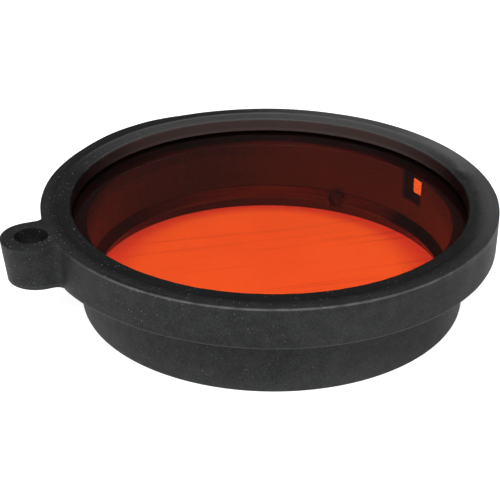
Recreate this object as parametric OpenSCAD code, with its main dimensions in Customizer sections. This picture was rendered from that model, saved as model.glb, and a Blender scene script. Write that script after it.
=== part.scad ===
// Push-on colour filter in a rubber boot: a coloured disc held in the
// groove of a stepped rubber ring, which is pushed over a round barrel.
// Millimetres. +Z is up, the origin is on the boot's axis at the mouth
// of its sleeve, and the lanyard eye points along -X.

/* [Boot] */
// Outer diameter of the collar
collar_d = 90; // [88:0.5:96]
// Height of the collar
collar_h = 8.1; // [7.6:0.1:9]
// Height of the whole boot
boot_h = 21.1; // [20:0.1:26]
// Outer diameter of the sleeve below the collar
sleeve_d = 77.4; // [76:0.2:79]
// Diameter inside the sleeve, above its grip bead
sleeve_bore = 72.4; // [71.6:0.2:73.4]
// Diameter inside the grip bead at the sleeve's mouth
bead_bore = 69.6; // [69:0.2:71]
// Height of the grip bead's straight wall
bead_h = 2.3; // [2:0.1:3.5]
// Height of the bead's sloping shoulder above that wall
bead_shoulder = 2; // [0.8:0.1:2.5]
// Size of the small bevels on the outer edges
edge_bevel = 0.3; // [0.2:0.1:0.8]

/* [Lip] */
// Diameter of the opening in the lip that holds the disc down
lip_bore = 78.2; // [77:0.2:80]
// Thickness of the lip above the groove
lip_t = 3.2; // [2.6:0.1:3.4]
// Diameter where the collar's top begins to slope inwards
crease_d = 84.6; // [83:0.2:86]
// How far the lip's top slopes down at its inner edge
lip_slope = 0.25; // [0.1:0.05:0.6]

/* [Filter disc] */
// Diameter of the coloured disc
disc_d = 83; // [82.4:0.1:83.2]
// Thickness of the coloured disc
disc_t = 2.2; // [2:0.1:2.3]
// Bevel round both edges of the disc
disc_bevel = 0.3; // [0.1:0.05:0.4]
// Room round the disc's edge, so that it can turn
side_gap = 0.4; // [0.3:0.05:0.6]
// Room under the disc
seat_gap = 0.1; // [0.05:0.05:0.2]
// Room over the disc
lip_gap = 0.45; // [0.3:0.05:0.6]

/* [Lanyard eye] */
// Distance from the boot's axis to the eye's hole
eye_reach = 48.2; // [48:0.1:50]
// Diameter of the eye's hole
eye_bore = 6.2; // [5:0.1:6.6]
// Diameter of the eye
eye_d = 11.7; // [11.4:0.1:13]
// Radius of the fillets between the eye and the collar
eye_fillet = 1.8; // [1:0.1:2.5]

/* [Vent slot] */
// Direction of the slot round the axis, counted from +X
vent_angle = 9.1; // [0:0.1:30]
// Width of the slot at its inner end
vent_w = 6.7; // [6:0.1:8]
// Width of the slot at its outer end, where it has narrowed
vent_out_w = 5.2; // [5:0.1:6]
// Height of the slot's floor above the mouth
vent_z = 8.6; // [7:0.1:8.6]

/* [Hidden] */

collar_r = collar_d / 2;
sleeve_r = sleeve_d / 2;
lip_r = lip_bore / 2;
eye_r = eye_d / 2;

collar_z = boot_h - collar_h;
groove_top = boot_h - lip_t;
disc_z = groove_top - lip_gap - disc_t;
ledge_z = disc_z - seat_gap;
groove_r = disc_d / 2 + side_gap;

// A fillet's centre is one fillet radius outside the eye's flank and a
// circle just inside the collar, so that it meets the collar at an angle
// and not at a bare tangent.
fillet_bite = 0.15;
fillet_y = eye_r + eye_fillet;
fillet_x = sqrt(pow(collar_r - fillet_bite + eye_fillet, 2) - pow(fillet_y, 2));

// Slack added to cutting shapes, so that they pass clean through
slack = 1;

$fn = 128;

// Half of the boot's cross-section, with the groove and the grip bead
module boot_profile() {
    polygon([
        [bead_bore / 2, 0],
        [sleeve_r - edge_bevel, 0],
        [sleeve_r, edge_bevel],
        [sleeve_r, collar_z - edge_bevel],
        [sleeve_r + edge_bevel, collar_z],
        [collar_r - edge_bevel, collar_z],
        [collar_r, collar_z + edge_bevel],
        [collar_r, boot_h - edge_bevel],
        [collar_r - edge_bevel, boot_h],
        [crease_d / 2, boot_h],
        [lip_r, boot_h - lip_slope],
        [lip_r, groove_top],
        [groove_r, groove_top],
        [groove_r, ledge_z],
        [sleeve_bore / 2, ledge_z],
        [sleeve_bore / 2, bead_h + bead_shoulder],
        [bead_bore / 2, bead_h]
    ]);
}

// Outline of the eye: a round end, a neck back to the collar, and a
// concave fillet on each side of the neck
module eye_outline() {
    translate([-eye_reach, 0]) circle(r = eye_r);
    difference() {
        translate([-eye_reach, -fillet_y]) square([eye_reach - groove_r, 2 * fillet_y]);
        for (side = [-1, 1]) {
            translate([-fillet_x, side * fillet_y]) circle(r = eye_fillet);
            translate([-eye_reach - slack, side > 0 ? eye_r : -eye_r - fillet_y])
                square([eye_reach - fillet_x + slack, fillet_y]);
        }
    }
}

// The eye stands as tall as the collar
module lanyard_eye() {
    difference() {
        translate([0, 0, collar_z]) linear_extrude(collar_h) eye_outline();
        translate([0, 0, collar_z - slack]) cylinder(r = collar_r - 2 * edge_bevel, h = collar_h + 2 * slack);
    }
}

// The slot that lets water and air in and out behind the disc. Inside, it
// runs up to the ledge under the disc. Outside, the collar closes its top.
module vent_cut() {
    inner_x = bead_bore / 2;
    outer_x = sleeve_r + 2 * edge_bevel;
    rotate([0, 0, vent_angle]) translate([0, 0, vent_z])
    linear_extrude(disc_z - vent_z) polygon([
        [inner_x, -vent_w / 2],
        [outer_x, -vent_out_w / 2],
        [outer_x, vent_out_w / 2],
        [inner_x, vent_w / 2]
    ]);
}

module rubber_boot() {
    color([0.13, 0.13, 0.13])
    difference() {
        union() {
            rotate_extrude() boot_profile();
            lanyard_eye();
        }
        translate([-eye_reach, 0, collar_z - slack])
            cylinder(d = eye_bore, h = collar_h + 2 * slack);
        vent_cut();
    }
}

module filter_disc() {
    color([0.88, 0.16, 0.05, 0.6])
    translate([0, 0, disc_z])
    rotate_extrude()
    polygon([
        [0, 0],
        [disc_d / 2 - disc_bevel, 0],
        [disc_d / 2, disc_bevel],
        [disc_d / 2, disc_t - disc_bevel],
        [disc_d / 2 - disc_bevel, disc_t],
        [0, disc_t]
    ]);
}

rubber_boot();
filter_disc();
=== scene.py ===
import math

import bpy
from mathutils import Matrix, Vector, noise


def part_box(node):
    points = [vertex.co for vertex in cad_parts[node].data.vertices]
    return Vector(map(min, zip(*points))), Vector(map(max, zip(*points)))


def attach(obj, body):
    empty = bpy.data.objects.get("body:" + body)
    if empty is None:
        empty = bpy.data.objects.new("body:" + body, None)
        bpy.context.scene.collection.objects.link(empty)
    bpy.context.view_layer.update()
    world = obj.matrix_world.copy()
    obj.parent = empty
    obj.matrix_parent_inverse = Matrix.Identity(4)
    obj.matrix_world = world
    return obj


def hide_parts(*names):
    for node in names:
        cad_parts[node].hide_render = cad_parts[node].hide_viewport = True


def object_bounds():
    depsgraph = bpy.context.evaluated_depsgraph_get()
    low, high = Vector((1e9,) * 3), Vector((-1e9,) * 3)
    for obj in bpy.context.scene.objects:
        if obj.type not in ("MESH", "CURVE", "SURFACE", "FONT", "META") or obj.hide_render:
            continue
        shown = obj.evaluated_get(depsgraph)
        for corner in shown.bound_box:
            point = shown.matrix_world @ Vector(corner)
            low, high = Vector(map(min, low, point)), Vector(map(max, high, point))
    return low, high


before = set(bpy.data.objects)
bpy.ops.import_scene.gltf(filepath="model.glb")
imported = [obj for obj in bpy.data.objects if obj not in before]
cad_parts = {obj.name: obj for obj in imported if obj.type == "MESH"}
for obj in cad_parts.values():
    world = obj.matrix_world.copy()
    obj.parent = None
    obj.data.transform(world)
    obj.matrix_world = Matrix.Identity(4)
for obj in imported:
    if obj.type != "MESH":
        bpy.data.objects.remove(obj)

cad_low, cad_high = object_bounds()

# ---------------------------------------------------------------- sizes
# Lengths are millimetres here and become metres where a mesh is made.
MM = 0.001
disc_low, disc_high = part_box("filter_disc")

BOOT_H = cad_high.z / MM
COLLAR_R = cad_high.y / MM
COLLAR_H = 8.1
SLEEVE_R = 38.7
BORE_R = 36.2
BEAD_R = 34.8
BEAD_H = 2.3
SHOULDER_H = 2.0
# Middle of the round gate mark on the shoulder
GATE = (26.9, 23.2, 3.0)
LIP_R = 39.1
LIP_T = 3.2
LIP_SLOPE = 0.25
CREASE_R = 42.3
GROOVE_R = 41.9
DISC_R = disc_high.x / MM
DISC_TOP = disc_high.z / MM
DISC_BOTTOM = disc_low.z / MM
SEAT_GAP = 0.1
EYE_X = -48.2
EYE_R = 5.85
EYE_BORE_R = 3.1
EYE_FILLET = 1.8
FILLET_BITE = 0.15
VENT_ANGLE = 9.1
VENT_W = 6.7
VENT_OUT_W = 5.2
VENT_Z = 8.6
NECK_FILLET = 0.8

# Small faults of the moulding. Angles are degrees round the axis from +X.
# Dents in the collar's top: (angle, distance from the axis, depth). A negative
# depth stands up.
DENTS = ((-7, 41.5, 0.42), (-15, 41.0, -0.10), (-143, 43.6, 0.10))
# Depth of the scuff on the top's outer edge, and its distance from the axis
SCUFF_DEPTH, SCUFF_R = 0.28, 44.25
# How far the collar stands proud at the back left
BULGE = 0.5
# How far the eye's foot droops, and how much it tapers
EYE_DROOP, EYE_TAPER = 0.6, 0.9
# The way the sleeve is off centre and leans, as x and y
SLEEVE_SHIFT = (0.91, -0.41)
# How far the bead's wall leans out at the left and right, and in at the front
# and back
BEAD_LEAN_OUT, BEAD_LEAN_IN = 1.3, 0.5

COLLAR_Z = BOOT_H - COLLAR_H
GROOVE_TOP = BOOT_H - LIP_T
LEDGE_Z = DISC_BOTTOM - SEAT_GAP


# ---------------------------------------------------------------- mesh tools
def make_object(name, points, faces):
    """A mesh object from points in millimetres."""
    mesh = bpy.data.meshes.new(name)
    mesh.from_pydata([Vector(p) * MM for p in points], [], faces)
    mesh.update()
    obj = bpy.data.objects.new(name, mesh)
    bpy.context.scene.collection.objects.link(obj)
    return obj


def rounded(corners, steps=5):
    """A polyline through corners of (x, y, radius), with each corner turned by an arc."""
    line = []
    for i, (x, y, radius) in enumerate(corners):
        here = Vector((x, y))
        if radius == 0 or i in (0, len(corners) - 1):
            line.append(here)
            continue
        before = (Vector(corners[i - 1][:2]) - here).normalized()
        after = (Vector(corners[i + 1][:2]) - here).normalized()
        half = before.angle(after) / 2
        reach = radius / math.tan(half)
        centre = here + (before + after).normalized() * radius / math.sin(half)
        start = here + before * reach - centre
        swing = start.angle_signed(here + after * reach - centre)
        for k in range(steps + 1):
            turn = Matrix.Rotation(-swing * k / steps, 2)
            line.append(centre + turn @ start)
    return line


def stepped(start, end, count):
    """Values from start to end in count equal steps, without start."""
    return [start + (end - start) * (k + 1) / count for k in range(count)]


def smoothstep(low, high, value):
    share = min(1, max(0, (value - low) / (high - low)))
    return share * share * (3 - 2 * share)


def hump(offset, width):
    """A smooth bump of height 1, centred where offset is 0."""
    return math.exp(-(offset / width) ** 2)


def cut(obj, cutter):
    """Takes cutter out of obj for good."""
    modifier = obj.modifiers.new("cut", "BOOLEAN")
    modifier.operation = "DIFFERENCE"
    modifier.solver = "EXACT"
    modifier.object = cutter
    graph = bpy.context.evaluated_depsgraph_get()
    mesh = bpy.data.meshes.new_from_object(obj.evaluated_get(graph))
    obj.modifiers.clear()
    old, obj.data = obj.data, mesh
    bpy.data.meshes.remove(old)
    bpy.data.objects.remove(cutter)


def smooth_by_angle(obj, degrees):
    """Smooth shading, with edges sharper than this angle kept crisp."""
    obj.data.shade_smooth()
    obj.data.set_sharp_from_angle(angle=math.radians(degrees))


# ---------------------------------------------------------------- boot
# The collar and the eye share one outline, seen from above. Each outline
# sample is (point, outward normal); its direction from the axis also sets
# where the round rows of the sleeve and the bore have a vertex.
def boot_outline():
    fillet_y = EYE_R + EYE_FILLET
    fillet_x = -math.sqrt((COLLAR_R - FILLET_BITE + EYE_FILLET) ** 2 - fillet_y ** 2)
    collar_join = math.atan2(fillet_y, -fillet_x)
    tip, flank, fillet, rest = 40, 8, 16, 330
    half = []
    for k in range(tip):
        a = math.pi / 2 * k / tip
        normal = Vector((-math.cos(a), math.sin(a)))
        half.append((Vector((EYE_X, 0)) + EYE_R * normal, normal))
    for k in range(flank):
        x = EYE_X + (fillet_x - EYE_X) * k / flank
        half.append((Vector((x, EYE_R)), Vector((0, 1))))
    for k in range(fillet):
        a = (math.pi / 2 - collar_join) * k / fillet
        normal = Vector((-math.sin(a), math.cos(a)))
        half.append((Vector((fillet_x, fillet_y)) - EYE_FILLET * normal, normal))
    for k in range(rest + 1):
        a = collar_join + (math.pi - collar_join) * k / rest
        normal = Vector((-math.cos(a), math.sin(a)))
        half.append((COLLAR_R * normal, normal))
    mirrored = [(Vector((p.x, -p.y)), Vector((n.x, -n.y))) for p, n in half[1:-1]]
    return half + mirrored[::-1]


# A row is (share, inset, radius, z): a point goes from the outline moved in
# by inset, at share 0, to the circle of that radius, at share 1.
def boot_rows():
    edge, foot = 0.3, 0.4
    rows = []

    def ring(line):
        rows.extend((1.0, 0.0, p.x, p.y) for p in line)

    def rim(line):
        rows.extend((0.0, p.x, 0.0, p.y) for p in line)

    # mouth and outside of the sleeve, up to the collar's underside
    ring([Vector((r, 0)) for r in stepped(BEAD_R + 0.5, SLEEVE_R - 1, 8)])
    ring(rounded([(SLEEVE_R - 0.9, 0, 0), (SLEEVE_R, 0, foot), (SLEEVE_R, 0.9, 0)]))
    ring([Vector((SLEEVE_R, z)) for z in stepped(0.9, COLLAR_Z - 1.1, 18)])
    ring(rounded([(SLEEVE_R, COLLAR_Z - 1, 0), (SLEEVE_R, COLLAR_Z, NECK_FILLET),
                  (SLEEVE_R + 1, COLLAR_Z, 0)]))
    # underside, side and top of the collar
    rows.extend((1 - s, 0.7, SLEEVE_R + 1, COLLAR_Z) for s in stepped(0, 1, 9)[:-1])
    rim(rounded([(0.6, COLLAR_Z, 0), (0, COLLAR_Z, edge), (0, COLLAR_Z + 0.6, 0)]))
    rim([Vector((0, z)) for z in stepped(COLLAR_Z + 0.6, BOOT_H - 0.5, 12)])
    rim(rounded([(0, BOOT_H - 0.4, 0), (0, BOOT_H, edge), (0.5, BOOT_H, 0)]))
    rows.extend((s, 0.5, CREASE_R + 0.2, BOOT_H) for s in stepped(0, 1, 9)[:-1])
    # crease, sloping inner half, lip and groove
    lip_z = BOOT_H - LIP_SLOPE
    crease = Vector((CREASE_R, BOOT_H))
    lip = Vector((LIP_R + 0.4, lip_z))
    ring([crease.lerp(lip, share) for share in stepped(0, 1, 16)])
    ring(rounded([(lip.x, lip.y, 0), (LIP_R, lip_z, 0.3), (LIP_R, lip_z - 0.4, 0)]))
    ring([Vector((LIP_R, z)) for z in stepped(lip_z - 0.4, GROOVE_TOP + 0.4, 6)])
    ring(rounded([(LIP_R, GROOVE_TOP + 0.3, 0), (LIP_R, GROOVE_TOP, 0.15),
                  (GROOVE_R, GROOVE_TOP, 0.2), (GROOVE_R, LEDGE_Z, 0.2),
                  (BORE_R, LEDGE_Z, 0.3), (BORE_R, LEDGE_Z - 0.6, 0)]))
    # bore, and the grip bead at the mouth
    shoulder_z = BEAD_H + SHOULDER_H
    ring([Vector((BORE_R, z)) for z in stepped(LEDGE_Z - 0.6, shoulder_z + 0.5, 16)])
    shoulder = Vector((BORE_R, shoulder_z)), Vector((BEAD_R, BEAD_H))
    ring(rounded([(BORE_R, shoulder_z + 0.4, 0), (BORE_R, shoulder_z, 0.25),
                  (*shoulder[0].lerp(shoulder[1], 0.25), 0)]))
    ring([shoulder[0].lerp(shoulder[1], share) for share in stepped(0.25, 0.8, 8)])
    ring(rounded([(*shoulder[0].lerp(shoulder[1], 0.85), 0), (BEAD_R, BEAD_H, 0.2),
                  (BEAD_R, 0, 0.25), (BEAD_R + 0.4, 0, 0)]))
    return rows


def boot_mesh():
    outline = boot_outline()
    rows = boot_rows()
    points, faces, count, high = [], [], len(outline), len(rows)
    for i, (p, normal) in enumerate(outline):
        direction = p.normalized()
        for j, (share, inset, radius, z) in enumerate(rows):
            xy = (p - inset * normal) * (1 - share) + direction * radius * share
            points.append(Vector((xy.x, xy.y, z)))
            i2, j2 = (i + 1) % count, (j + 1) % high
            faces.append((i * high + j, i * high + j2, i2 * high + j2, i2 * high + j))
    return make_object("boot_rubber_visual", points, faces)


def eye_cutter():
    flare = 0.06
    low, top = COLLAR_Z, BOOT_H
    wall = rounded([(EYE_BORE_R + 2, low - 1, 0), (EYE_BORE_R + flare, low - 1, 0),
                    (EYE_BORE_R + flare, low, 0), (EYE_BORE_R, low + 0.2, 0.2),
                    (EYE_BORE_R, top - 0.2, 0.2), (EYE_BORE_R + flare, top, 0),
                    (EYE_BORE_R + flare, top + 1, 0), (0, top + 1, 0)])[1:-1]
    rings, segments = [], 72
    points, faces = [], []
    for r, z in wall:
        start = len(points)
        for k in range(segments):
            a = 2 * math.pi * k / segments
            points.append((EYE_X + r * math.cos(a), r * math.sin(a), z))
        rings.append(range(start, start + segments))
    for lower, upper in zip(rings, rings[1:]):
        for k in range(segments):
            k2 = (k + 1) % segments
            faces.append((lower[k], lower[k2], upper[k2], upper[k]))
    faces.append(tuple(reversed(rings[0])))
    faces.append(tuple(rings[-1]))
    return make_object("eye_cutter", points, faces)


# The slot narrows outwards, its floor rises, it flares where it meets the
# bore, and the collar's fillet closes the top of its outer end.
def vent_cutter():
    corner, flare, rise = 0.5, 0.3, 0.24
    roof, outer_roof = LEDGE_Z + SEAT_GAP / 2, COLLAR_Z - NECK_FILLET
    narrowing = (VENT_W - VENT_OUT_W) / 2 / (SLEEVE_R + 0.6 - BEAD_R)
    turn = Matrix.Rotation(math.radians(VENT_ANGLE), 3, "Z")
    points, faces, count = [], [], 0
    sections = ((BEAD_R, flare, roof), (BORE_R - 0.4, flare, roof), (BORE_R + 0.1, 0, roof),
                (SLEEVE_R - 0.5, 0, roof), (SLEEVE_R + 0.05, 0, outer_roof))
    for x, extra, top in sections:
        half_w = VENT_W / 2 - narrowing * (x - BEAD_R) + extra
        floor = VENT_Z + rise * (x - BORE_R) - extra
        section = rounded([(half_w, top, 0), (half_w, floor, corner), (-half_w, floor, corner),
                           (-half_w, top, 0)])
        count = len(section)
        points += [turn @ Vector((x, *p)) for p in section]
    for here in range(0, len(points) - count, count):
        for k in range(count):
            k2 = (k + 1) % count
            faces.append((here + k, here + count + k, here + count + k2, here + k2))
    faces.append(tuple(range(count)))
    faces.append(tuple(range(len(points) - count, len(points)))[::-1])
    return make_object("vent_cutter", points, faces)


# Moulded rubber is never quite true. These small moves keep the rubber clear
# of the disc, and inside the CAD shape's box.
def top_sink(p, r):
    """How far the collar's top sinks below its highest level."""
    low_waves = 0.05 * (1 + noise.noise(Vector((p.x, p.y, 0)) / 13))
    ridge = 0.07 * hump(r - CREASE_R, 0.3)
    sink = 0.08 + low_waves - ridge
    angle = math.degrees(math.atan2(p.y, p.x))
    for toward, out, depth in DENTS:
        sink += depth * hump(angle - toward, 3.2) * hump(r - out, 1.3)
    scuff = smoothstep(-158, -149, angle) * (1 - smoothstep(-139, -130, angle))
    sink += SCUFF_DEPTH * scuff * hump(r - SCUFF_R, 0.22)
    return sink * (1 - 0.4 * smoothstep(44, 47, -p.x)) * (1 - 0.7 * back_left(angle))


def back_left(angle):
    """1 where the collar stands a little proud of round, 0 elsewhere."""
    return smoothstep(90, 104, angle) * smoothstep(132, 112, angle)


def soften(p):
    """Where a point of the true shape goes on the real, slightly wavy one."""
    r = math.hypot(p.x, p.y)
    out = p.copy()
    if p.z > GROOVE_TOP:
        out.z -= top_sink(p, r) * smoothstep(GROOVE_TOP + 0.6, BOOT_H - 0.6, p.z)
    around = Vector((p.x, p.y, p.z)) / r if r else Vector()
    if r > GROOVE_R and p.z > COLLAR_Z - 0.1:
        angle = math.degrees(math.atan2(p.y, p.x))
        wave = 0.05 * (1 + noise.noise(around * 9)) - BULGE * back_left(angle)
        out -= wave * smoothstep(GROOVE_R, COLLAR_R - 0.8, r) * Vector((p.x, p.y, 0)) / r
    if r < LIP_R + 1.2 and p.z > GROOVE_TOP + 0.3:
        ragged = 0.05 * noise.noise(around * 55) + 0.07 * noise.noise(around * 21)
        out += ragged * smoothstep(LIP_R + 1.2, LIP_R + 0.3, r) * Vector((p.x, p.y, 0)) / r
    # the collar's foot droops towards the eye, and the eye tapers
    low = (BOOT_H - p.z) / COLLAR_H
    if low <= 1.01 and r > SLEEVE_R:
        off_eye = abs(math.degrees(math.atan2(p.y, -p.x)))
        out.z -= EYE_DROOP * low * smoothstep(32, 6, off_eye) * smoothstep(SLEEVE_R, SLEEVE_R + 1.5, r)
        out.x += EYE_TAPER * low * smoothstep(44, 50, -p.x)
    across = (SLEEVE_SHIFT[0] * p.x + SLEEVE_SHIFT[1] * p.y) / r if r else 0
    # the sleeve sits a little off centre, leans, and is not quite round
    if p.z <= COLLAR_Z and r < SLEEVE_R + 1.1:
        mouth = smoothstep(COLLAR_Z - 0.5, 0, p.z)
        outer = smoothstep(BORE_R, SLEEVE_R, r)
        under_eye = max(0, -across) ** 6
        shift = 0.3 * outer + 0.2 * mouth + 0.35 * outer * under_eye
        out += shift * Vector((*SLEEVE_SHIFT, 0))
        oval = math.cos(2 * math.atan2(p.y, p.x) - 0.9)
        out += 0.12 * mouth * oval * Vector((p.x, p.y, 0)) / r
    # the bead's wall leans out at the left and right, and in at the front and back
    if p.z < BEAD_H and r < SLEEVE_R - 1:
        lean = BEAD_LEAN_OUT * across ** 2 - BEAD_LEAN_IN * (1 - across ** 2)
        lean *= (1 - p.z / BEAD_H) * smoothstep(SLEEVE_R - 1, BEAD_R + 0.5, r)
        out += lean * Vector((p.x, p.y, 0)) / r
    # gate mark on the bead's shoulder
    off = (p - Vector(GATE)).length
    if off < 2.4 and r < BORE_R + 0.1:
        step = 0.7 * smoothstep(1.9, 1.6, off) - 0.35 * hump(off - 2.1, 0.3)
        out += step * Vector((p.x, p.y, 0)) / r
    return out


def make_boot():
    boot = boot_mesh()
    cut(boot, eye_cutter())
    cut(boot, vent_cutter())
    for vertex in boot.data.vertices:
        vertex.co = soften(vertex.co / MM) * MM
    smooth_by_angle(boot, 35)
    return boot


# ---------------------------------------------------------------- disc
def make_disc():
    corner = 0.3
    flat_r = DISC_R - corner
    edge = rounded([(flat_r - 0.05, DISC_BOTTOM, 0), (DISC_R, DISC_BOTTOM, corner),
                    (DISC_R, DISC_TOP, corner), (flat_r - 0.05, DISC_TOP, 0)])
    rows = [Vector((r, DISC_BOTTOM)) for r in stepped(0, flat_r - 0.3, 8)] + edge
    rows += [Vector((r, DISC_TOP)) for r in stepped(0, flat_r - 0.3, 8)[::-1]]
    points, faces, segments = [(0, 0, DISC_BOTTOM), (0, 0, DISC_TOP)], [], 256
    for i in range(segments):
        a = 2 * math.pi * i / segments
        points += [(r * math.cos(a), r * math.sin(a), z) for r, z in rows]
    for i in range(segments):
        here, there = 2 + i * len(rows), 2 + (i + 1) % segments * len(rows)
        faces.append((0, there, here))
        for j in range(len(rows) - 1):
            faces.append((here + j, there + j, there + j + 1, here + j + 1))
        faces.append((1, here + len(rows) - 1, there + len(rows) - 1))
    disc = make_object("filter_disc_visual", points, faces)
    smooth_by_angle(disc, 35)
    return disc


# ---------------------------------------------------------------- node tools
def calc(tree, operation, *values):
    """A Math node. Each value is a number or another node's socket."""
    node = tree.nodes.new("ShaderNodeMath")
    node.operation = operation
    for socket, value in zip(node.inputs, values):
        if isinstance(value, bpy.types.NodeSocket):
            tree.links.new(value, socket)
        else:
            socket.default_value = value
    return node.outputs[0]


def total(tree, *parts):
    """The sum of (amount, socket) pairs."""
    result = 0.0
    for amount, socket in parts:
        result = calc(tree, "MULTIPLY_ADD", socket, amount, result)
    return result


def ramp(tree, value, low, high):
    """0 at low, 1 at high, smooth between and flat beyond. High may be below low."""
    node = tree.nodes.new("ShaderNodeMapRange")
    node.interpolation_type = "SMOOTHSTEP"
    tree.links.new(value, node.inputs["Value"])
    rising = low < high
    node.inputs["From Min"].default_value = min(low, high)
    node.inputs["From Max"].default_value = max(low, high)
    node.inputs["To Min"].default_value = 0 if rising else 1
    node.inputs["To Max"].default_value = 1 if rising else 0
    return node.outputs["Result"]


def band(tree, value, low, high, soft):
    """1 between low and high, fading to 0 over soft on each side."""
    return calc(tree, "MULTIPLY", ramp(tree, value, low - soft, low),
                ramp(tree, value, high + soft, high))


def both(tree, *masks):
    """Where all the masks meet: their product."""
    result = masks[0]
    for mask in masks[1:]:
        result = calc(tree, "MULTIPLY", result, mask)
    return result


def distance(tree, place, point):
    """How far the place is from a point, in millimetres."""
    node = tree.nodes.new("ShaderNodeVectorMath")
    node.operation = "DISTANCE"
    tree.links.new(place, node.inputs[0])
    node.inputs[1].default_value = point
    return node.outputs["Value"]


def facing(tree, x, y, r, azimuth):
    """1 on the side of the object at this azimuth, 0 on its far half."""
    turn = math.radians(azimuth)
    along = calc(tree, "MULTIPLY_ADD", x, math.cos(turn), calc(tree, "MULTIPLY", y, math.sin(turn)))
    return ramp(tree, calc(tree, "DIVIDE", along, r), 0.15, 0.85)


def place_in_mm(tree):
    """The point's place on the object in millimetres: vector, x, y, z and radius."""
    where = tree.nodes.new("ShaderNodeTexCoord")
    scale = tree.nodes.new("ShaderNodeVectorMath")
    scale.operation = "SCALE"
    scale.inputs["Scale"].default_value = 1 / MM
    tree.links.new(where.outputs["Object"], scale.inputs[0])
    place = scale.outputs[0]
    split = tree.nodes.new("ShaderNodeSeparateXYZ")
    tree.links.new(place, split.inputs[0])
    x, y, z = split.outputs
    square = calc(tree, "MULTIPLY_ADD", x, x, calc(tree, "MULTIPLY", y, y))
    return place, x, y, z, calc(tree, "SQRT", square)


def stretched(tree, place, turn, scale):
    """The place turned about Z by turn degrees, then scaled along each axis."""
    node = tree.nodes.new("ShaderNodeMapping")
    node.vector_type = "TEXTURE"
    node.inputs["Rotation"].default_value = (0, 0, math.radians(turn))
    node.inputs["Scale"].default_value = scale
    tree.links.new(place, node.inputs["Vector"])
    return node.outputs[0]


def grain(tree, place, size, detail=2.0, spread=(0.3, 0.7)):
    """Noise with features of about this size in millimetres, from 0 to 1."""
    node = tree.nodes.new("ShaderNodeTexNoise")
    node.inputs["Scale"].default_value = 1 / size
    node.inputs["Detail"].default_value = detail
    tree.links.new(place, node.inputs["Vector"])
    return ramp(tree, node.outputs[0], *spread)


def specks(tree, place, spacing, radius, share):
    """Round specks, on this share of the cells of a lattice of this spacing."""
    node = tree.nodes.new("ShaderNodeTexVoronoi")
    node.inputs["Scale"].default_value = 1 / spacing
    tree.links.new(place, node.inputs["Vector"])
    split = tree.nodes.new("ShaderNodeSeparateXYZ")
    tree.links.new(node.outputs["Color"], split.inputs[0])
    size = calc(tree, "MULTIPLY_ADD", split.outputs[1], 0.7 * radius / spacing, 0.3 * radius / spacing)
    inside = calc(tree, "SUBTRACT", size, node.outputs["Distance"])
    mask = ramp(tree, inside, 0, 0.3 * radius / spacing)
    return both(tree, mask, ramp(tree, split.outputs[0], share + 0.01, share))


def blend(tree, factor, first, second):
    """A colour mix. Each colour is a tuple or a socket."""
    node = tree.nodes.new("ShaderNodeMix")
    node.data_type = "RGBA"
    node.clamp_factor = True
    tree.links.new(factor, node.inputs["Factor"])
    for name, colour in (("A", first), ("B", second)):
        socket = next(s for s in node.inputs if s.name == name and s.type == "RGBA")
        if isinstance(colour, bpy.types.NodeSocket):
            tree.links.new(colour, socket)
        else:
            socket.default_value = (*colour, 1)
    return next(s for s in node.outputs if s.type == "RGBA")


def bump(tree, height, depth):
    """A bump whose full height is depth, in millimetres."""
    node = tree.nodes.new("ShaderNodeBump")
    node.inputs["Distance"].default_value = depth * MM
    tree.links.new(height, node.inputs["Height"])
    return node.outputs[0]


# ---------------------------------------------------------------- materials
def new_material(name):
    material = bpy.data.materials.new(name)
    material.use_nodes = True
    tree = material.node_tree
    return material, tree, tree.nodes["Principled BSDF"]


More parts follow.
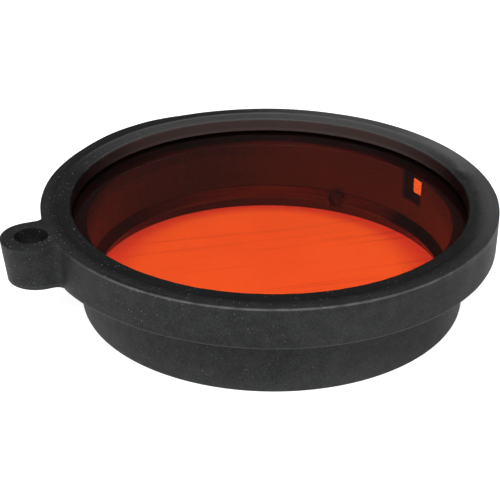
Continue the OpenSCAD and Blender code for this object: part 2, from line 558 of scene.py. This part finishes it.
# Black rubber: matt and dusty outside, smoother and darker on the lip's
# sloping top. Light and shade are painted into its colour: paler where light
# falls, darker where shade falls, with a painted highlight along its front top edge.
def rubber_material():
    material, tree, shader = new_material("moulded_black_rubber")
    place, x, y, z, r = place_in_mm(tree)

    def toward(azimuth):
        return facing(tree, x, y, r, azimuth)

    # noise of three sizes, and sides of the boot
    fine = grain(tree, place, 0.35, 3)
    cloudy = grain(tree, place, 2.2, 3)
    patchy = grain(tree, place, 14, 2)
    back, front, right = toward(66), toward(250), toward(8)
    # masks, each 1 on its part of the boot
    top = ramp(tree, z, BOOT_H - 1.0, BOOT_H - 0.5)
    slope = both(tree, top, band(tree, r, LIP_R, CREASE_R - 0.1, 0.2))
    # Painted highlight: a pale line along the crease, at the back only.
    crease = both(tree, top, back, band(tree, r, CREASE_R - 0.3, CREASE_R + 0.1, 0.3))
    edge = both(tree, ramp(tree, z, BOOT_H - 0.5, BOOT_H - 0.35), front, front,
                ramp(tree, r, COLLAR_R - 0.34, COLLAR_R - 0.24),
                ramp(tree, r, COLLAR_R + 0.5, COLLAR_R + 0.1))
    # Painted highlight: the collar's top is paler towards its outer edge on the right.
    painted_highlight_top_right = both(tree, top, right, right, ramp(tree, r, CREASE_R - 2, CREASE_R + 1))
    # Painted highlight: a pale line along the collar's lower outer edge.
    painted_highlight_low_edge = both(tree, ramp(tree, r, COLLAR_R - 0.5, COLLAR_R - 0.3),
                    band(tree, z, COLLAR_Z, COLLAR_Z + 0.2, 0.2))
    # Painted shade: the sleeve is darker just under the collar.
    painted_shade_under_collar = both(tree, ramp(tree, z, COLLAR_Z - 1.3, COLLAR_Z - 0.5),
                ramp(tree, r, COLLAR_R - 1, COLLAR_R - 3))
    lip_wall = both(tree, band(tree, z, GROOVE_TOP, BOOT_H - 0.4, 0.3),
                    ramp(tree, r, LIP_R + 0.6, LIP_R + 0.3), ramp(tree, r, LIP_R - 0.6, LIP_R - 0.3))
    lip_foot = both(tree, lip_wall, ramp(tree, z, GROOVE_TOP + 0.9, GROOVE_TOP + 0.5))
    inside = both(tree, ramp(tree, r, BORE_R + 0.6, BORE_R + 0.3), ramp(tree, z, LEDGE_Z, LEDGE_Z - 0.2))
    # Painted reflection of the floor: the bead is paler, and the bead and the bore's wall are paler
    # still on the right.
    bead = both(tree, inside, ramp(tree, z, BEAD_H - 0.3, BEAD_H - 0.6))
    shoulder = both(tree, inside, band(tree, z, BEAD_H - 0.4, BEAD_H + SHOULDER_H - 0.2, 0.2))
    wall = both(tree, inside, ramp(tree, z, BEAD_H + SHOULDER_H, BEAD_H + SHOULDER_H + 0.4))
    lines = grain(tree, stretched(tree, place, 0, (9, 9, 0.3)), 1, 1, (0.35, 0.65))
    lit_shoulder = both(tree, shoulder, toward(42), ramp(tree, y, 8, 14),
                        calc(tree, "MULTIPLY_ADD", lines, 0.4, 0.6))
    # Painted light from the floor: the sleeve's outside is paler near its foot.
    foot = both(tree, ramp(tree, z, 5, 0), ramp(tree, r, BORE_R, SLEEVE_R))
    side = both(tree, ramp(tree, z, BOOT_H - 1.2, BOOT_H - 1.6), ramp(tree, r, BORE_R, SLEEVE_R))
    groove = both(tree, ramp(tree, z, LEDGE_Z - 0.3, LEDGE_Z - 0.1),
                  ramp(tree, z, GROOVE_TOP + 0.1, GROOVE_TOP - 0.1),
                  ramp(tree, r, COLLAR_R - 1, COLLAR_R - 2))
    # Painted highlight: the top's outer half is paler on the right.
    glow = both(tree, top, toward(-50), toward(66),
                ramp(tree, r, CREASE_R - 0.5, CREASE_R + 0.5))
    shaded = both(tree, top, toward(80), toward(150),
                  ramp(tree, r, CREASE_R - 0.2, CREASE_R + 0.3))
    # Painted light: a paler band down the outer side at the front.
    painted_light_band = both(tree, side, toward(215), toward(327))
    # How dusty each part is, with painted light and shade added in, and the colours
    # laid over it. The noise is dust. The tones that change with the side of the boot
    # are painted light and shade of the studio, and so are the paler foot, low edge
    # and bead and the darker groove and band under the collar.
    dust_and_painted_light = total(tree, (0.40, fine), (0.20, cloudy), (0.10, patchy),
                 (-0.5, painted_shade_under_collar), (-0.33, slope), (0.03, top),
                 (0.6, crease), (0.7, painted_highlight_top_right), (0.40, inside), (0.25, foot), (0.35, painted_highlight_low_edge),
                 # Painted light: the lip's sloping top is paler at the back and on the right.
                 (0.6, both(tree, slope, back)), (0.7, both(tree, slope, right)),
                 # Painted shade: the bead's shoulder is darker on its right side.
                 (0.4, bead), (-1.0, both(tree, shoulder, toward(-8))),
                 # Painted shade: the outer sides are darker on the right and at the front right.
                 (-0.4, both(tree, side, right)), (-0.2, both(tree, side, toward(330))),
                 (-0.35, shaded), (0.6, painted_light_band),
                 # Painted shade and light: the groove and ledge under the lip are darker, paler at the
                 # back and much paler on the right.
                 (-0.3, groove), (0.3, both(tree, groove, back)), (0.8, both(tree, groove, right)))
    clean, dusty, pale = (0.0055, 0.0058, 0.0063), (0.046, 0.047, 0.049), (0.36, 0.36, 0.35)
    lit, lip_light_tone, pale_light_tone = (0.16, 0.16, 0.16), (0.115, 0.100, 0.098), (0.10, 0.10, 0.098)
    painted_highlight_tone, dark, edge_highlight_tone = (0.28, 0.28, 0.275), (0.008, 0.008, 0.008), (0.15, 0.15, 0.148)
    colour = blend(tree, dust_and_painted_light, clean, dusty)
    colour = blend(tree, lit_shoulder, colour, lit)
    # Painted light: the lip's inner wall is paler and pinkish at the back, where red light from the
    # filter falls.
    painted_lip_light = both(tree, total(tree, (0.75, lip_wall), (0.4, lip_foot)), back)
    colour = blend(tree, painted_lip_light, colour, lip_light_tone)
    # Painted light: a pale tone on the top's right, the slope and crease at the back, and the bead and
    # bore wall on the right.
    painted_pale_light = total(tree, (0.6, painted_highlight_top_right), (0.5, both(tree, slope, back)), (0.3, crease),
                   (0.9, both(tree, bead, right)), (0.85, both(tree, wall, right)))
    colour = blend(tree, painted_pale_light, colour, pale_light_tone)
    # Painted highlight on the top's outer half, on the right.
    colour = blend(tree, glow, colour, painted_highlight_tone)
    # The gate mark is darker, unevenly, in its hollow and on the hollow's edge.
    gate = distance(tree, place, GATE)
    gate_mottle = calc(tree, "MULTIPLY_ADD", grain(tree, place, 0.9, 2, (0.35, 0.6)), 0.8, 0.2)
    gate_mark = both(tree, inside, gate_mottle, total(tree, (0.5, band(tree, gate, 1.5, 1.9, 0.4)),
                                                 (0.5, ramp(tree, gate, 2.1, 1.5))))
    colour = blend(tree, gate_mark, colour, dark)
    # Painted highlight along the collar's front top edge, broken up by noise.
    painted_edge_highlight = both(tree, edge, calc(tree, "MULTIPLY_ADD", cloudy, 0.5, 0.5))
    colour = blend(tree, painted_edge_highlight, colour, edge_highlight_tone)
    # pale specks, most of them on the top near the eye
    toward_eye = ramp(tree, x, 15, -40)
    exposed = total(tree, (0.45, top), (0.45, toward_eye), (1.0, both(tree, top, toward_eye)))
    scatter = both(tree, grain(tree, place, 6, 2, (0.3, 0.6)), calc(tree, "ADD", exposed, 0.05))
    flecks = calc(tree, "MAXIMUM", specks(tree, place, 1.4, 0.14, 0.6),
                  specks(tree, place, 0.6, 0.12, 0.8))
    colour = blend(tree, both(tree, flecks, scatter), colour, pale)
    tree.links.new(colour, shader.inputs["Base Color"])
    rough = total(tree, (0.10, fine), (0.08, patchy), (-0.22, slope), (-0.30, inside))
    tree.links.new(calc(tree, "ADD", rough, 0.50), shader.inputs["Roughness"])
    shader.inputs["Specular IOR Level"].default_value = 0.18
    height = total(tree, (0.5, fine), (0.5, cloudy), (0.6, flecks))
    tree.links.new(bump(tree, height, 0.03), shader.inputs["Normal"])
    return material


# Clear orange-red acrylic: faint flow streaks, and a few specks of dust
# that let more of the light through unfiltered.
def filter_material():
    material, tree, shader = new_material("orange_red_acrylic")
    place = place_in_mm(tree)[0]
    streaks = grain(tree, stretched(tree, place, -8, (34, 1.1, 1)), 1, 1, (0.28, 0.40))
    clouds = grain(tree, place, 22, 2)
    deep, pale, dusty = (0.74, 0.070, 0.016), (0.92, 0.108, 0.016), (0.96, 0.30, 0.16)
    colour = blend(tree, total(tree, (0.65, streaks), (0.35, clouds)), deep, pale)
    flecks = both(tree, specks(tree, place, 3.4, 0.22, 0.25), grain(tree, place, 11, 2, (0.4, 0.7)))
    tree.links.new(blend(tree, flecks, colour, dusty), shader.inputs["Base Color"])
    shader.inputs["Roughness"].default_value = 0.0
    shader.inputs["IOR"].default_value = 1.49
    shader.inputs["Transmission Weight"].default_value = 1.0
    shader.inputs["Sheen Weight"].default_value = 0.010
    shader.inputs["Sheen Roughness"].default_value = 0.6
    return material


# A pale floor that glows a little, as a lit table does. Inside the sleeve it
# is shaded near the wall, less far at the back, where most of its light has
# come through the filter. It is a little brighter just outside the sleeve.
def floor_material():
    material, tree, shader = new_material("pale_floor")
    _, x, y, _, r = place_in_mm(tree)
    shader.inputs["Base Color"].default_value = (0.8, 0.8, 0.8, 1)
    shader.inputs["Roughness"].default_value = 0.9
    back = facing(tree, x, y, r, 66)
    at_back = both(tree, back, ramp(tree, r, BEAD_R - 5, BEAD_R))
    at_side = both(tree, calc(tree, "SUBTRACT", 1.0, back), ramp(tree, r, BEAD_R - 9, BEAD_R + 0.5))
    inside = ramp(tree, r, SLEEVE_R - 0.6, SLEEVE_R - 1.2)
    shade = both(tree, calc(tree, "ADD", at_back, at_side), inside)
    around = both(tree, ramp(tree, r, SLEEVE_R - 1, SLEEVE_R), ramp(tree, r, 75, SLEEVE_R))
    white, shaded = (1, 1, 1), (0.66, 0.35, 0.95)
    glow, extra_glow = 0.88, 0.06
    tree.links.new(blend(tree, shade, white, shaded), shader.inputs["Emission Color"])
    strength = calc(tree, "MULTIPLY_ADD", around, extra_glow, glow)
    tree.links.new(strength, shader.inputs["Emission Strength"])
    return material


# ---------------------------------------------------------------- studio
def make_floor():
    reach, z = 1500, -0.02
    corners = [(-reach, -reach, z), (reach, -reach, z), (reach, reach, z), (-reach, reach, z)]
    floor = make_object("floor", corners, [(0, 1, 2, 3)])
    floor.data.materials.append(floor_material())


def view_direction(azimuth, elevation):
    """The way from the object towards a camera or light at these angles in degrees."""
    turn, rise = math.radians(azimuth), math.radians(elevation)
    return Vector((math.sin(turn) * math.cos(rise), -math.cos(turn) * math.cos(rise), math.sin(rise)))


def softbox(name, place, size, power):
    light = bpy.data.lights.new(name, "AREA")
    light.shape = "RECTANGLE"
    light.size, light.size_y = size
    light.energy = power
    lamp = bpy.data.objects.new(name, light)
    bpy.context.scene.collection.objects.link(lamp)
    lamp.location = place
    lamp.rotation_euler = (-place).to_track_quat("-Z", "Y").to_euler()


# The world is a dim room, which shows as white where the camera sees it.
def make_world():
    world = bpy.data.worlds.new("studio")
    bpy.context.scene.world = world
    world.use_nodes = True
    tree = world.node_tree
    ray = tree.nodes.new("ShaderNodeLightPath")
    background = tree.nodes["Background"]
    background.inputs["Color"].default_value = (1, 1, 1, 1)
    seen = ray.outputs["Is Camera Ray"]
    room, white = 0.04, 1.0
    strength = calc(tree, "MULTIPLY_ADD", seen, white - room, room)
    tree.links.new(strength, background.inputs["Strength"])


# Each softbox is (name, azimuth, elevation, size, power), with angles counted
# as the camera's are. All stand at one distance from the boot.
SOFTBOX_DISTANCE = 0.75
SOFTBOXES = (("key", -32, 48, (0.45, 0.35), 2.8), ("overhead", 150, 80, (0.5, 0.5), 0.9),
             ("behind", 152, 50, (0.6, 0.2), 1.0), ("vent_side", 108, 30, (0.3, 0.3), 0.15))


def make_lights():
    for name, azimuth, elevation, size, power in SOFTBOXES:
        softbox(name, view_direction(azimuth, elevation) * SOFTBOX_DISTANCE, size, power)


def make_camera():
    aim = Vector((-5.2, -2.5, 10.55)) * MM
    azimuth, elevation, roll, away = -22.96, 28.13, 0.32, 257.8
    back = view_direction(azimuth, elevation)
    data = bpy.data.cameras.new("camera")
    data.lens = 93.4
    data.sensor_width = 36
    data.clip_start = 0.01
    camera = bpy.data.objects.new("camera", data)
    bpy.context.scene.collection.objects.link(camera)
    turn = (-back).to_track_quat("-Z", "Y").to_matrix().to_4x4()
    roll_turn = Matrix.Rotation(math.radians(roll), 4, "Z")
    camera.matrix_world = Matrix.Translation(aim + back * away * MM) @ turn @ roll_turn
    bpy.context.scene.camera = camera


# ---------------------------------------------------------------- scene
boot = make_boot()
boot.data.materials.append(rubber_material())
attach(boot, "boot")
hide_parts("rubber_boot")

disc = make_disc()
disc.data.materials.append(filter_material())
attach(disc, "filter")
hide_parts("filter_disc")

make_floor()
make_world()
make_lights()
make_camera()
bpy.context.scene.view_settings.view_transform = "Standard"
